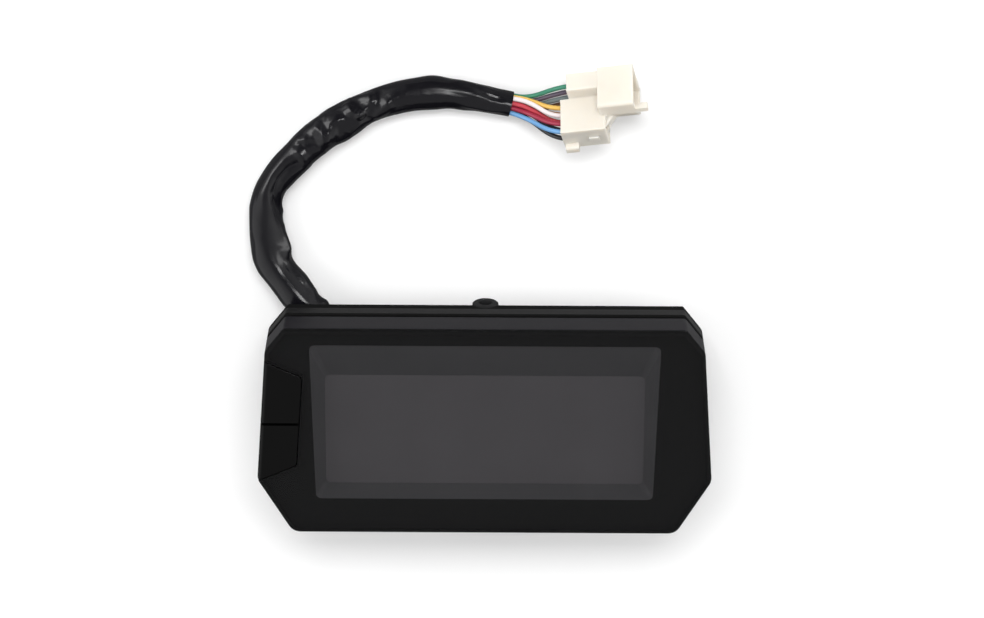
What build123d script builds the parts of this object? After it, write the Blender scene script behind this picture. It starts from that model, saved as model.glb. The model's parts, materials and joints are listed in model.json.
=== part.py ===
from build123d import *
import math
import os

# Motorcycle instrument cluster with its harness and connector, in millimetres.
# It lies on its back: +Z is the way the face looks, +Y runs to the cluster's top edge and +X to its
# right. The origin is under the middle of the case, on the rear face. The harness lies on the same plane.

# ---- case outline, seen from the front ----
case_width = 166.0
case_height = 80.0
shoulder_step = 3.6
shoulder_drop = 8.8
top_step = 6.9
waist_rise = 21.0
bottom_step = 12.7
top_corner_radius = 1.5
shoulder_radius = 2.5
waist_radius = 5.0
bottom_radius = 5.0

# ---- depth, from the rear face to the lens ----
tub_depth = 18.0
rear_band_height = 12.0
seal_gap = 1.6
cover_band_height = 11.9
mask_thickness = 0.3
lens_thickness = 2.2
lens_edge_radius = 1.5

# ---- walls and general clearances ----
case_wall = 2.4
deck_thickness = 1.6
tub_wall = 2.2
rim_floor = 3.0
rim_taper_height = 3.5
rim_taper_angle = 9.0
rim_edge_radius = 1.0
tongue_wall = 1.2
tongue_reach = 3.0
slip = 0.15
running = 0.05

# ---- tub behind the case ----
tub_top_step = 20.5
tub_top_inset = 9.0
tub_chamfer_run = 16.0
tub_chamfer_rise = 12.0
tub_waist_step = 10.5
tub_waist_lift = 3.0
tub_bottom_step = 9.3
tub_corner_radius = 4.0
tub_edge_radius = 2.5
panel_length = 56.0
panel_width = 24.0
panel_depth = 0.8
gusset_thickness = 1.8
gusset_reach = 5.0
gusset_height = 8.0
gusset_pitch = 14.0
rib_thickness = 1.6
rib_height = 1.6
rib_pitch = 20.0

# ---- window and display ----
window_top_inset = 6.6
window_bottom_inset = 13.0
window_side_inset = 19.6
window_taper = 1.8
window_radius = 2.0
display_top_inset = 14.2
display_edge_inset = 3.4
display_radius = 2.0
display_depth = 6.5
bezel_wall = 1.1
bezel_foot = 1.2
bezel_clearance = 0.3
glass_sheet = 1.1
glass_side_margin = 2.8
glass_margin = 5.3
glass_gap = 0.3
contact_ledge = 4.2
polarizer_thickness = 0.2
diffuser_thickness = 0.8
box_wall = 1.9
box_height = 11.0
well_inset = 3.5
well_margin = 2.0
strip_width = 2.2
strip_end_inset = 6.0

# ---- keys on the left edge ----
key_width = 13.9
key_top_inset = 3.5
key_split_drop = 1.05
key_overreach = 4.0
key_diagonal = 24.0
key_gap = 0.4
key_split_gap = 0.9
key_skirt = 6.8
key_plate = 2.2
key_wall = 1.4
key_corner_radius = 1.2
key_outer_radius = 1.6
key_travel = 1.0
pocket_wall = 1.2
pocket_floor = 1.6
pocket_depth = 8.3
stem_radius = 2.2
stem_inset = 8.4
collar_radius = 4.3
collar_length = 1.8
seal_outer_radius = 3.6
seal_height = 1.4
snap_radius = 2.7
snap_length = 1.1
snap_play = 0.1
stem_offset = 9.3
key_rib_width = 1.2
key_rib_length = 6.0
key_rib_offset = 4.2
plunger_radius = 1.6
switch_side = 6.2
switch_height = 3.4
switch_floor = 1.0
plunger_play = 1.2

# ---- circuit board ----
board_thickness = 1.6
board_lift = 8.0
board_inset = 4.2
led_length = 3.5
led_width = 2.8
led_height = 1.9
led_pitch = 22.0
led_count = 5
led_row_pitch = 14.5
chip_side = 12.0
chip_thickness = 1.5
chip_standoff = 0.1
chip_place = (8.0, 2.0)
lead_count = 11
lead_pitch = 0.9
lead_width = 0.4
lead_reach = 1.2
regulator_place = (51.3, -12.0)
regulator_width = 6.6
regulator_length = 6.2
regulator_height = 2.3
regulator_tab = 1.6
regulator_legs = 3.0
regulator_leg_width = 1.0
capacitor_y = 12.0
large_capacitor_x = 38.0
large_capacitor_radius = 4.0
large_capacitor_height = 9.0
small_capacitor_x = 48.5
small_capacitor_radius = 3.2
small_capacitor_height = 7.0

# ---- screws ----
case_screw_radius = 1.5
case_screw_length = 13.0
case_head_radius = 2.9
case_head_height = 1.6
case_boss_radius = 3.2
board_screw_radius = 1.3
board_screw_length = 5.0
board_head_radius = 2.5
board_head_height = 1.4
board_post_radius = 2.8
corner_screw_inset = 8.5
upper_screw_step = 2.0
lower_screw_step = 1.3
edge_screw_x = 32.0
edge_screw_inset = 4.8
left_post_inset = 14.0
right_post_inset = 11.5
right_post_y = 5.0
low_post_x = 12.0
low_post_inset = 5.6
screw_play = 0.2
head_play = 0.3

# ---- mounting points ----
insert_spacing = 84.0
insert_y = -14.0
insert_radius = 4.0
insert_length = 10.0
insert_bore = 2.5
insert_boss_radius = 6.5
groove_width = 1.6
groove_depth = 0.6
locator_z_above_rim = -1.0
locator_boss_radius = 4.6
locator_bush_radius = 3.5
locator_flange_radius = 4.85
locator_flange = 1.5
locator_bore = 2.4
breather_x = 30.0
breather_y = 10.0
breather_radius = 6.0
breather_thickness = 1.6
breather_stem = 2.0

# ---- harness ----
sleeve_diameter = 11.0
cable_exit_z = 9.6
boot_length = 6.2
sleeve_tail = 2.0
exit_run = 13.4
boot_flange_radius = 7.6
boot_neck_radius = 6.4
boot_tip_radius = 6.3
boot_flange = 1.5
wire_diameter = 1.7
wire_run = 6.0
crimp_depth = 3.0
loom_length = 14.0
loom_lift = 7.4
loom_height = 4.6
loom_width = 16.0
plug_height = 6.4
plug_width = 18.0
plug_length = 10.0
plug_exposed = 3.0
header_wall = 1.5

# ---- connector ----
housing_length = 27.5
housing_wall = 1.6
block_length = 16.5
block_setback = 3.2
block_edge_radius = 0.5
low_block_width = 14.2
low_block_height = 10.8
high_block_width = 7.2
high_block_height = 16.2
hood_length = 13.0
hood_width = 17.2
hood_height = 18.0
hood_overhang = 1.5
hood_edge_radius = 1.2
hood_near_height = 6.6
hood_key_run = 6.4
foot_start = 0.6
foot_length = 4.8
foot_reach = 2.4
foot_height = 3.2
flank_reach = 4.5
flank_height = 5.5
flank_thickness = 4.0
tab_reach = 4.5
tab_width = 2.4
lock_start = 9.6
lock_length = 3.8
lock_height = 5.3
lock_thickness = 0.6
lock_head_height = 2.2
lock_reach = 0.9
lock_depth = 1.9
high_cavity_pitch = 3.6
high_cavity_start = 2.7
low_cavity_pitch = 3.4
low_cavity_start = 1.9
low_cavity_rows = (3.0, 7.6)
bundle_gap = 0.35
cavity_clearance = 0.3
barrel_start = 7.0
socket_width = 2.0
socket_height = 1.8
connector_roll = 51.0
connector_yaw = 9.0
connector_place = (28.5, 113.0)
rest_clearance = 0.05

# ---- heights that follow from the sizes above ----
rim_z = tub_depth
band_top = rim_z + rear_band_height
cover_bottom = band_top + seal_gap
deck_top = cover_bottom + cover_band_height
lens_back = deck_top + mask_thickness
face_z = lens_back + lens_thickness
rim_top = rim_z + rim_floor
board_back = rim_z + board_lift - board_thickness
board_front = rim_z + board_lift
glass_front = deck_top - display_depth
box_base = board_front
beyond = 2.0

# ---- places across the face that follow from the sizes above ----
half_width = case_width / 2
half_height = case_height / 2
shoulder_half = half_width - shoulder_step
shoulder_y = half_height - shoulder_drop
top_half = shoulder_half - top_step
waist_y = waist_rise - half_height
bottom_half = half_width - bottom_step
tub_top_half = top_half - tub_top_step
tub_top_y = half_height - tub_top_inset
tub_waist_half = half_width - tub_waist_step
tub_waist_y = waist_y + tub_waist_lift
tub_bottom_half = bottom_half - tub_bottom_step
window_top_half = half_width - window_side_inset
window_bottom_half = window_top_half - window_taper
window_top_y = half_height - window_top_inset
window_bottom_y = window_bottom_inset - half_height
display_half = window_bottom_half - display_edge_inset
display_top_y = window_top_y - display_top_inset
display_bottom_y = window_bottom_y + display_edge_inset
glass_half = display_half + glass_side_margin
strip_half = glass_half - strip_end_inset
key_top_y = shoulder_y - key_top_inset
key_bottom_y = waist_y
key_split_y = (key_top_y + key_bottom_y) / 2 - key_split_drop
corner_screw_y = half_height - corner_screw_inset
edge_screw_y = half_height - edge_screw_inset


def shifted(points, distance):
    """Moves each side of a convex clockwise outline inwards by distance, or outwards if negative."""
    count = len(points)
    sides = []
    for i in range(count):
        (x0, y0), (x1, y1) = points[i], points[(i + 1) % count]
        length = math.hypot(x1 - x0, y1 - y0)
        inward = ((y1 - y0) / length, -(x1 - x0) / length)
        start = (x0 + inward[0] * distance, y0 + inward[1] * distance)
        sides.append((start, (x1 - x0, y1 - y0)))
    corners = []
    for i in range(count):
        (p, d), (q, e) = sides[i - 1], sides[i]
        cross = d[0] * e[1] - d[1] * e[0]
        along = ((q[0] - p[0]) * e[1] - (q[1] - p[1]) * e[0]) / cross
        corners.append((p[0] + d[0] * along, p[1] + d[1] * along))
    return corners


def rounded(points, radii):
    """A flat face inside a closed outline with rounded corners."""
    return make_face(FilletPolyline(*points, radius=radii, close=True).edges())


def prism(face, bottom, top):
    return extrude(Pos(0, 0, bottom) * face, top - bottom)


def mirrored_outline(half_points):
    """A clockwise outline from its right half, listed from the top down."""
    left = [(-x, y) for x, y in half_points]
    return half_points + left[::-1]


def case_face(inset=0.0):
    right = [
        (top_half, half_height),
        (shoulder_half, shoulder_y),
        (half_width, waist_y),
        (bottom_half, -half_height),
    ]
    radii = [top_corner_radius, shoulder_radius, waist_radius, bottom_radius]
    radii = [max(r - inset, 0.5) for r in radii]
    return rounded(shifted(mirrored_outline(right), inset), radii + radii[::-1])


def case_ring(outer_inset, inner_inset, bottom, top):
    return prism(case_face(outer_inset), bottom, top) - prism(case_face(inner_inset), bottom, top)


def tub_face(inset=0.0):
    right = [
        (tub_top_half, tub_top_y),
        (tub_top_half + tub_chamfer_run, tub_top_y - tub_chamfer_rise),
        (tub_waist_half, tub_waist_y),
        (tub_bottom_half, -tub_top_y),
    ]
    radii = [max(tub_corner_radius - inset, 0.8)] * 8
    return rounded(shifted(mirrored_outline(right), inset), radii)


def window_face(grow=0.0):
    points = [
        (window_top_half, window_top_y),
        (window_bottom_half, window_bottom_y),
        (-window_bottom_half, window_bottom_y),
        (-window_top_half, window_top_y),
    ]
    return rounded(shifted(points, -grow), [window_radius + grow] * 4)


def display_face(grow=0.0):
    points = [
        (display_half, display_top_y),
        (display_half, display_bottom_y),
        (-display_half, display_bottom_y),
        (-display_half, display_top_y),
    ]
    return rounded(shifted(points, -grow), [display_radius + grow] * 4)


def block(x0, x1, y0, y1, z0, z1):
    box = Box(x1 - x0, y1 - y0, z1 - z0, align=(Align.MIN, Align.MIN, Align.MIN))
    return Pos(x0, y0, z0) * box


def post(x, y, radius, bottom, top):
    return Pos(x, y, bottom) * Cylinder(
        radius, top - bottom, align=(Align.CENTER, Align.CENTER, Align.MIN)
    )


def left_edge(y):
    """The x of the case's left edge between the shoulder and the waist."""
    share = (shoulder_y - y) / (shoulder_y - waist_y)
    return -(shoulder_half + shoulder_step * share)


def key_corners():
    """The keys' field, reaching past the case's edge on the left."""
    slope = math.tan(math.radians(key_diagonal))
    top_right_y = key_top_y - slope * key_width
    bottom_right_y = key_bottom_y + slope * key_width
    return [
        (left_edge(key_top_y) - key_overreach, key_top_y + slope * key_overreach),
        (left_edge(top_right_y) + key_width, top_right_y),
        (left_edge(bottom_right_y) + key_width, bottom_right_y),
        (left_edge(key_bottom_y) - key_overreach, key_bottom_y - slope * key_overreach),
    ]


def key_field(grow=0.0):
    turn = max(key_corner_radius + grow, 0.3)
    radii = [0.5, turn, turn, 0.5]
    return rounded(shifted(key_corners(), -grow), radii)


case_screws_at = [
    (side * x, y)
    for side in (-1, 1)
    for x, y in (
        (top_half - upper_screw_step, corner_screw_y),
        (bottom_half - lower_screw_step, -corner_screw_y),
        (edge_screw_x, edge_screw_y),
        (edge_screw_x, -edge_screw_y),
    )
]
board_screws_at = [
    (left_post_inset - half_width, key_split_y),
    (half_width - right_post_inset, right_post_y),
    (-low_post_x, low_post_inset - half_height),
    (low_post_x, low_post_inset - half_height),
]
stems_at = [
    (left_edge(key_split_y + step) + stem_inset, key_split_y + step)
    for step in (stem_offset, -stem_offset)
]


# ---- lens and mask ----
def make_lens():
    pane = prism(case_face(), lens_back, face_z)
    rim = pane.edges().group_by(Axis.Z)[-1]
    pane = fillet(rim, lens_edge_radius)
    pane -= prism(key_field(key_gap), lens_back - beyond, face_z + beyond)
    return pane


def make_lens_mask():
    sheet = prism(case_face(0.6), deck_top, lens_back)
    sheet -= prism(window_face(), deck_top, lens_back)
    sheet -= prism(key_field(key_gap + 0.4), deck_top, lens_back)
    return sheet


# ---- front cover ----
def bezel_envelope(grow=0.0):
    top = Pos(0, 0, deck_top) * window_face(bezel_wall + grow)
    foot = Pos(0, 0, glass_front) * display_face(bezel_wall + grow)
    return loft([foot, top])


def make_front_cover():
    ceiling = deck_top - deck_thickness
    pocket_top = face_z - pocket_depth - key_gap - mask_thickness
    notch_z = face_z - key_skirt - key_travel - 0.6
    cover = prism(case_face(), cover_bottom, deck_top)
    cover -= prism(case_face(case_wall), cover_bottom, ceiling)
    bead_inset = case_wall + slip + tongue_wall
    cover += case_ring(case_wall, bead_inset, cover_bottom, cover_bottom + 1.6)
    cover += case_ring(case_wall + slip, bead_inset, cover_bottom - tongue_reach, cover_bottom + 1.0)
    inside = prism(case_face(0.2), cover_bottom, ceiling)
    inside += prism(case_face(case_wall + slip), rim_top, cover_bottom)
    cover += inside & prism(key_field(key_gap + pocket_wall), pocket_top - pocket_floor, ceiling)
    for x, y in case_screws_at:
        cover += inside & post(x, y, case_boss_radius, rim_top, ceiling)
    for x, y in board_screws_at:
        cover += post(x, y, board_post_radius, board_front, ceiling)
    for x, y in stems_at:
        cover += post(x, y, collar_radius, pocket_top - pocket_floor - collar_length, pocket_top)
    cover -= prism(key_field(key_gap), notch_z, deck_top + beyond)
    cavity = prism(case_face(case_wall), pocket_top, notch_z + beyond)
    cover -= cavity & prism(key_field(key_gap), pocket_top, notch_z + beyond)
    cover -= prism(window_face(bezel_wall + bezel_clearance), ceiling - 1.0, deck_top + beyond)
    cover -= bezel_envelope(bezel_clearance)
    foot = glass_front + bezel_foot + bezel_clearance
    cover -= prism(display_frame(bezel_clearance), glass_front - box_height, foot)
    for x, y in stems_at:
        cover -= post(x, y, stem_radius + running, board_front, face_z)
        cover -= post(x, y, seal_outer_radius, pocket_top - seal_height, pocket_top + beyond)
    for x, y in case_screws_at:
        cover -= post(x, y, case_screw_radius + running, rim_top, rim_top + case_screw_length)
    for x, y in board_screws_at:
        cover -= post(x, y, board_screw_radius + running, board_front, board_front + board_screw_length)
    return cover


# ---- keys ----
def key_levels():
    pocket_top = face_z - pocket_depth - key_gap - mask_thickness
    return pocket_top, pocket_top - pocket_floor - collar_length


def make_key(x, y, low_y, high_y):
    skirt_z = face_z - key_skirt
    side = 100.0
    blank = prism(case_face(), skirt_z, face_z)
    outer = blank.edges().group_by(Axis.Z)[-1]
    blank = fillet(outer, key_outer_radius)
    half = block(-side, 0, low_y, high_y, skirt_z - beyond, face_z + beyond)
    key = blank & prism(key_field(), skirt_z, face_z) & half
    core = prism(case_face(key_wall), skirt_z, face_z - key_plate)
    inner = prism(key_field(-key_wall), skirt_z, face_z - key_plate)
    hollow = block(-side, 0, low_y + key_wall, high_y - key_wall, skirt_z, face_z)
    key -= core & inner & hollow
    pocket_top, collar_bottom = key_levels()
    snap_top = collar_bottom - snap_play
    key += post(x, y, stem_radius, snap_top - snap_length, face_z - key_plate)
    key += post(x, y, snap_radius, snap_top - snap_length, snap_top)
    rib_height_z = key_skirt - key_plate
    for middle in (y - key_rib_offset, y + key_rib_offset):
        rib = Pos(x, middle, skirt_z + rib_height_z / 2) * Box(key_rib_width, key_rib_length, rib_height_z)
        key += rib & blank & half
    return key


def make_plunger(x, y):
    collar_bottom = key_levels()[1]
    top = collar_bottom - snap_play - snap_length
    return post(x, y, plunger_radius, board_front + switch_floor + plunger_play, top)


def make_switch_bodies():
    bodies = []
    for x, y in stems_at:
        half = switch_side / 2
        body = block(x - half, x + half, y - half, y + half, board_front, board_front + switch_height)
        top = board_front + switch_height + 1
        body -= post(x, y, plunger_radius + running, board_front + switch_floor, top)
        bodies.append(chamfer(body.edges().filter_by(Axis.Z), 0.6))
    return bodies


def make_key_seals():
    pocket_top = key_levels()[0]
    seals = []
    for x, y in stems_at:
        ring = post(x, y, seal_outer_radius - running, pocket_top - seal_height, pocket_top)
        ring = chamfer(ring.edges().group_by(Axis.Z)[-1], 0.4)
        ring -= post(x, y, stem_radius + running, pocket_top - seal_height, pocket_top)
        seals.append(ring)
    return seals


# ---- display ----
def display_frame(grow=0.0):
    """The plan of the backlight box, a margin wider than the glass all round."""
    margin = box_wall + grow
    x = glass_half + margin
    low = display_bottom_y - glass_margin - margin
    high = display_top_y + glass_margin + margin
    return rounded([(x, high), (x, low), (-x, low), (-x, high)], [1.0] * 4)


def plate(half, low, high, bottom, top):
    return block(-half, half, low, high, bottom, top)


def make_display_bezel():
    funnel = bezel_envelope()
    funnel += prism(display_frame(), glass_front, glass_front + bezel_foot)
    top = Pos(0, 0, deck_top) * window_face()
    foot = Pos(0, 0, glass_front) * display_face()
    funnel -= loft([foot, top])
    return funnel


def glass_span(step=0.0):
    return display_bottom_y - glass_margin + step, display_top_y + glass_margin - step


def make_lcd_panel():
    low, high = glass_span()
    front = plate(glass_half, low, high, glass_front - polarizer_thickness - glass_sheet,
                  glass_front - polarizer_thickness)
    low, high = glass_span(contact_ledge)
    rear_top = glass_front - polarizer_thickness - glass_sheet
    return front + plate(glass_half, low, high, rear_top - glass_sheet, rear_top)


def make_polarizers():
    low, high = glass_span(contact_ledge - 0.4)
    half = glass_half - 0.6
    front = plate(half, low, high, glass_front - polarizer_thickness, glass_front)
    rear_top = glass_front - polarizer_thickness - 2 * glass_sheet
    low, high = glass_span(contact_ledge + 0.4)
    rear = plate(half, low, high, rear_top - polarizer_thickness, rear_top)
    return [front, rear]


def make_diffuser():
    low, high = glass_span(contact_ledge + 0.4)
    top = glass_front - 2 * polarizer_thickness - 2 * glass_sheet
    return plate(glass_half - 0.6, low, high, top - diffuser_thickness, top)


def make_backlight_box():
    box = prism(display_frame(), box_base, glass_front)
    low, high = glass_span(-glass_gap)
    front_back = glass_front - polarizer_thickness - glass_sheet
    box -= plate(glass_half + glass_gap, low, high, front_back, glass_front)
    low, high = glass_span(contact_ledge - glass_gap)
    rear_back = front_back - glass_sheet - polarizer_thickness
    box -= plate(glass_half + glass_gap, low, high, rear_back, front_back)
    low, high = glass_span(contact_ledge + 0.1)
    sheet_back = rear_back - diffuser_thickness
    box -= plate(glass_half - glass_gap, low, high, sheet_back, rear_back)
    width = 2 * (glass_half - well_margin)
    height = high - low - 2 * (well_margin - 0.5)
    mouth = Pos(0, 0, sheet_back) * Rectangle(width, height)
    base = Pos(0, 0, box_base) * Rectangle(width - 2 * well_inset, height - 2 * well_inset)
    box -= Pos(0, (low + high) / 2, 0) * loft([base, mouth])
    for y in strip_rows():
        gap = strip_width / 2 + running
        box -= plate(strip_half + running, y - gap, y + gap, box_base, front_back)
    return box


def strip_rows():
    low, high = glass_span(contact_ledge / 2)
    return low, high


def make_contact_strips():
    top = glass_front - polarizer_thickness - glass_sheet
    half = strip_width / 2
    return [plate(strip_half, y - half, y + half, box_base, top) for y in strip_rows()]


# ---- circuit board and what is on it ----
def make_circuit_board():
    board = prism(case_face(board_inset), board_back, board_front)
    for x, y in case_screws_at:
        board -= post(x, y, case_boss_radius + 0.4, board_back, board_front)
    for x, y in board_screws_at:
        board -= post(x, y, board_screw_radius + screw_play, board_back, board_front)
    return board


def make_backlight_leds():
    middle_y = (display_top_y + display_bottom_y) / 2
    leds = []
    for y in (middle_y - led_row_pitch / 2, middle_y + led_row_pitch / 2):
        for i in range(led_count):
            x = (i - (led_count - 1) / 2) * led_pitch
            leds.append(Pos(x, y, board_front + led_height / 2) * Box(led_length, led_width, led_height))
    return leds


def make_microcontroller():
    body_depth = chip_thickness - chip_standoff
    body = Pos(0, 0, board_back - chip_standoff - body_depth / 2) * Box(chip_side, chip_side, body_depth)
    body = chamfer(body.edges().filter_by(Axis.Z), 0.8)
    lead = Box(lead_reach + 0.5, lead_width, 0.4)
    for turn in range(4):
        for i in range(lead_count):
            offset = (i - (lead_count - 1) / 2) * lead_pitch
            reach = chip_side / 2 + (lead_reach - 0.5) / 2
            body += Rot(0, 0, 90 * turn) * Pos(reach, offset, board_back - 0.2) * lead
    return Pos(*chip_place, 0) * body


def make_voltage_regulator():
    half = regulator_width / 2
    leads = board_back - 0.6
    body = block(-half, half, 0, regulator_length, board_back - regulator_height, board_back)
    tab_end = regulator_length + regulator_tab
    body += block(1.0 - half, half - 1.0, regulator_length, tab_end, leads, board_back)
    leg = block(0, regulator_leg_width, -regulator_legs, 0, leads, board_back)
    body += Pos(0.7 - half, 0, 0) * leg
    body += Pos(half - 0.7 - regulator_leg_width, 0, 0) * leg
    return Pos(*regulator_place, 0) * body


def make_capacitors():
    cans = []
    for x, radius, height in (
        (large_capacitor_x, large_capacitor_radius, large_capacitor_height),
        (small_capacitor_x, small_capacitor_radius, small_capacitor_height),
    ):
        can = post(x, capacitor_y, radius, board_back - height, board_back)
        cans.append(chamfer(can.edges().group_by(Axis.Z)[0], 0.5))
    return cans


# ---- rear case ----
exit_normal = Vector(-tub_chamfer_rise, tub_chamfer_run, 0).normalized()
exit_point = Vector(
    -(tub_top_half + tub_chamfer_run * 0.45),
    tub_top_y - tub_chamfer_rise * 0.45,
    cable_exit_z,
)


def cable_plane(distance=0.0):
    """A plane across the cable entry, distance outwards from the tub's chamfer wall."""
    return Plane(origin=exit_point + exit_normal * distance, x_dir=(0, 0, 1), z_dir=exit_normal)


def cable_disc(radius, start, end):
    return extrude(cable_plane(start) * Circle(radius), end - start)


def locator_cylinder(radius, start_y, end_y):
    z = rim_z + locator_z_above_rim
    plane = Plane(origin=(0, start_y, z), x_dir=(1, 0, 0), z_dir=(0, 1, 0))
    return extrude(plane * Circle(radius), end_y - start_y)


def make_rear_case():
    straight = rim_z + rim_taper_height
    case = prism(case_face(), straight, band_top)
    lower = Pos(0, 0, straight) * case_face()
    case += extrude(lower, rim_taper_height, dir=(0, 0, -1), taper=rim_taper_angle)
    case = fillet(case.edges().group_by(Axis.Z)[0], rim_edge_radius)
    tub = prism(tub_face(), 0, rim_z + 1)
    tub = fillet(tub.edges().group_by(Axis.Z)[0], tub_edge_radius)
    case += tub
    case += locator_cylinder(locator_boss_radius, tub_top_y - tub_wall, half_height - locator_flange)
    for count in (-2, -1, 1, 2):
        for sign in (-1, 1):
            case += make_gusset(count * gusset_pitch, sign)
    case -= prism(case_face(case_wall), rim_top, band_top)
    case -= prism(tub_face(tub_wall), tub_wall, rim_top)
    for x in (-insert_spacing / 2, insert_spacing / 2):
        case += post(x, insert_y, insert_boss_radius, 1.0, insert_length + tub_wall - 0.2)
        case -= post(x, insert_y, insert_radius, 0, insert_length)
    for x in (-rib_pitch, 0.0, rib_pitch):
        rib_top = tub_wall + rib_height
        case += Pos(x, 0, (1.0 + rib_top) / 2) * Box(rib_thickness, 2 * (tub_top_y - 1.0), rib_top - 1.0)
    case -= block(-panel_length / 2, panel_length / 2, insert_y - panel_width / 2,
                  insert_y + panel_width / 2, 0, panel_depth)
    case -= post(breather_x, breather_y, breather_radius + 0.2, 0, breather_thickness + 0.1)
    case -= post(breather_x, breather_y, breather_stem + running, 0, tub_wall + 3)
    case -= locator_cylinder(locator_bush_radius, tub_top_y, half_height + beyond)
    case -= locator_cylinder(locator_flange_radius + 0.3, half_height - locator_flange, half_height + beyond)
    case -= cable_disc(boot_neck_radius + running, -tub_wall - beyond, beyond)
    for x, y in case_screws_at:
        case -= post(x, y, case_screw_radius + screw_play, rim_z, rim_top)
        case -= post(x, y, case_head_radius + head_play, rim_z, rim_z + case_head_height + screw_play)
    return case


def make_gusset(x, sign):
    """A web that braces the rim against the tub's wall."""
    wall_y = sign * (tub_top_y - 0.5)
    outer_y = wall_y + sign * (gusset_reach + 0.5)
    corners = [(wall_y, rim_z + 0.5), (outer_y, rim_z + 0.5), (wall_y, rim_z - gusset_height)]
    profile = Plane.YZ * make_face(Polyline(*corners, close=True).edges())
    return Pos(x - gusset_thickness / 2, 0, 0) * extrude(profile, gusset_thickness)


def make_case_seal():
    return case_ring(0.8, case_wall, band_top, cover_bottom)


def make_locating_grommet():
    bush = locator_cylinder(locator_bush_radius - 0.02, tub_top_y, half_height)
    bush += locator_cylinder(locator_flange_radius, half_height - locator_flange, half_height)
    bush = chamfer(bush.edges().group_by(Axis.Y)[-1], 0.5)
    bush -= locator_cylinder(locator_bore, tub_top_y, half_height + beyond)
    return bush


def make_mount_inserts():
    low = (insert_length - groove_width) / 2
    high = low + groove_width
    insert = post(0, 0, insert_radius - 0.02, 0.0, insert_length)
    insert -= post(0, 0, insert_radius, low, high) - post(0, 0, insert_radius - groove_depth, low, high)
    insert -= post(0, 0, insert_bore, 0.0, insert_length)
    return [Pos(x, insert_y, 0) * insert for x in (-insert_spacing / 2, insert_spacing / 2)]


def make_breather_cap():
    cap = post(breather_x, breather_y, breather_radius, 0.1, breather_thickness + 0.1)
    cap = chamfer(cap.edges().group_by(Axis.Z)[0], 0.4)
    cap += post(breather_x, breather_y, breather_stem, breather_thickness + 0.1, tub_wall + 2.0)
    for turn in range(3):
        slot = Box(1.0, 2 * breather_radius + 1, 0.8)
        cap -= Pos(breather_x, breather_y, 0.3) * Rot(0, 0, 60 * turn) * slot
    return cap


# ---- screws ----
def make_screw(x, y, seat_z, radius, length, head_radius, head_height):
    head = post(x, y, head_radius, seat_z - head_height, seat_z)
    head = chamfer(head.edges().group_by(Axis.Z)[0], head_height * 0.4)
    return head + post(x, y, radius, seat_z, seat_z + length)


def make_case_screws():
    seat = rim_z + case_head_height + screw_play
    return [
        make_screw(x, y, seat, case_screw_radius, case_screw_length, case_head_radius, case_head_height)
        for x, y in case_screws_at
    ]


def make_board_screws():
    length = board_thickness + board_screw_length - 0.3
    return [
        make_screw(x, y, board_back, board_screw_radius, length, board_head_radius, board_head_height)
        for x, y in board_screws_at
    ]


# ---- cable entry and what it feeds inside ----
def make_harness_grommet():
    bore = sleeve_diameter / 2 + running
    wall = -tub_wall
    profile = [
        (bore, wall - boot_flange),
        (boot_neck_radius + 0.8, wall - boot_flange),
        (boot_neck_radius + 0.8, wall),
        (boot_neck_radius, wall),
        (boot_neck_radius, 0.0),
        (boot_flange_radius, 0.0),
        (boot_flange_radius, boot_flange),
        (boot_flange_radius - 0.6, boot_flange),
        (boot_tip_radius, boot_length),
        (bore, boot_length),
    ]
    section = Plane.XZ * make_face(Polyline(*profile, close=True).edges())
    boot = revolve(section, Axis.Z)
    return cable_plane() * boot


def make_inner_loom():
    near = cable_plane(-tub_wall - sleeve_tail) * Circle(sleeve_diameter / 2 - 1.0)
    return loft([near, plug_plane() * RectangleRounded(loom_height, loom_width, 2.0)])


def plug_plane():
    """The board plug's wire face: z along the cable entry's axis, x up."""
    back = cable_plane(-tub_wall - sleeve_tail - loom_length)
    return Plane(origin=back.origin + Vector(0, 0, loom_lift), x_dir=back.x_dir, z_dir=back.z_dir)


def make_board_plug():
    body = Pos(0, 0, -plug_length / 2) * Box(plug_height, plug_width, plug_length)
    latch = Pos(-plug_height / 2 - 0.4, 0, -1.4) * Box(1.0, 6.0, 2.4)
    return plug_plane() * (body + latch)


def make_board_header():
    to_board = board_back - (cable_exit_z + loom_lift)
    shroud = plug_height / 2 + 1.2
    body = Box(to_board + shroud, plug_width + 2 * header_wall, plug_length)
    body = Pos((to_board - shroud) / 2, 0, -plug_exposed - plug_length / 2) * body
    body -= Pos(0, 0, -plug_length / 2) * Box(plug_height + 2 * slip, plug_width + 2 * slip, plug_length)
    return plug_plane() * body


# ---- harness, lying on the plane that the case rests on ----
floor_z = sleeve_diameter / 2 + rest_clearance
sleeve_points = [
    (-77.8, 51.5, floor_z),
    (-82.0, 67.5, floor_z),
    (-78.6, 82.4, floor_z),
    (-67.0, 94.8, floor_z),
    (-53.0, 106.0, floor_z),
    (-36.0, 114.7, floor_z),
    (-18.5, 117.6, floor_z),
    (-3.8, 115.6, floor_z),
    (8.9, 112.6, floor_z),
]


def tangent_radii(points, share=0.45):
    """The largest arc that each corner's two runs allow."""
    radii = []
    for before, here, after in zip(points, points[1:], points[2:]):
        arriving = Vector(*here) - Vector(*before)
        leaving = Vector(*after) - Vector(*here)
        turn = math.radians(arriving.get_angle(leaving))
        shorter = min(arriving.length, leaving.length)
        radii.append(share * shorter / math.tan(turn / 2))
    return radii


def make_tube(points, diameter, name):
    radii = tangent_radii(points)
    path = FilletPolyline(*points, radius=radii)
    tangent = path % 0
    tube = sweep(Plane(origin=path @ 0, z_dir=tangent) * Circle(diameter / 2), path=path)
    ideal = math.pi * diameter**2 / 4 * path.length
    print(name, "length", round(path.length, 1), "volume ratio", round(tube.volume / ideal, 4),
          "radii", [round(r, 1) for r in radii])
    return tube


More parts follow.
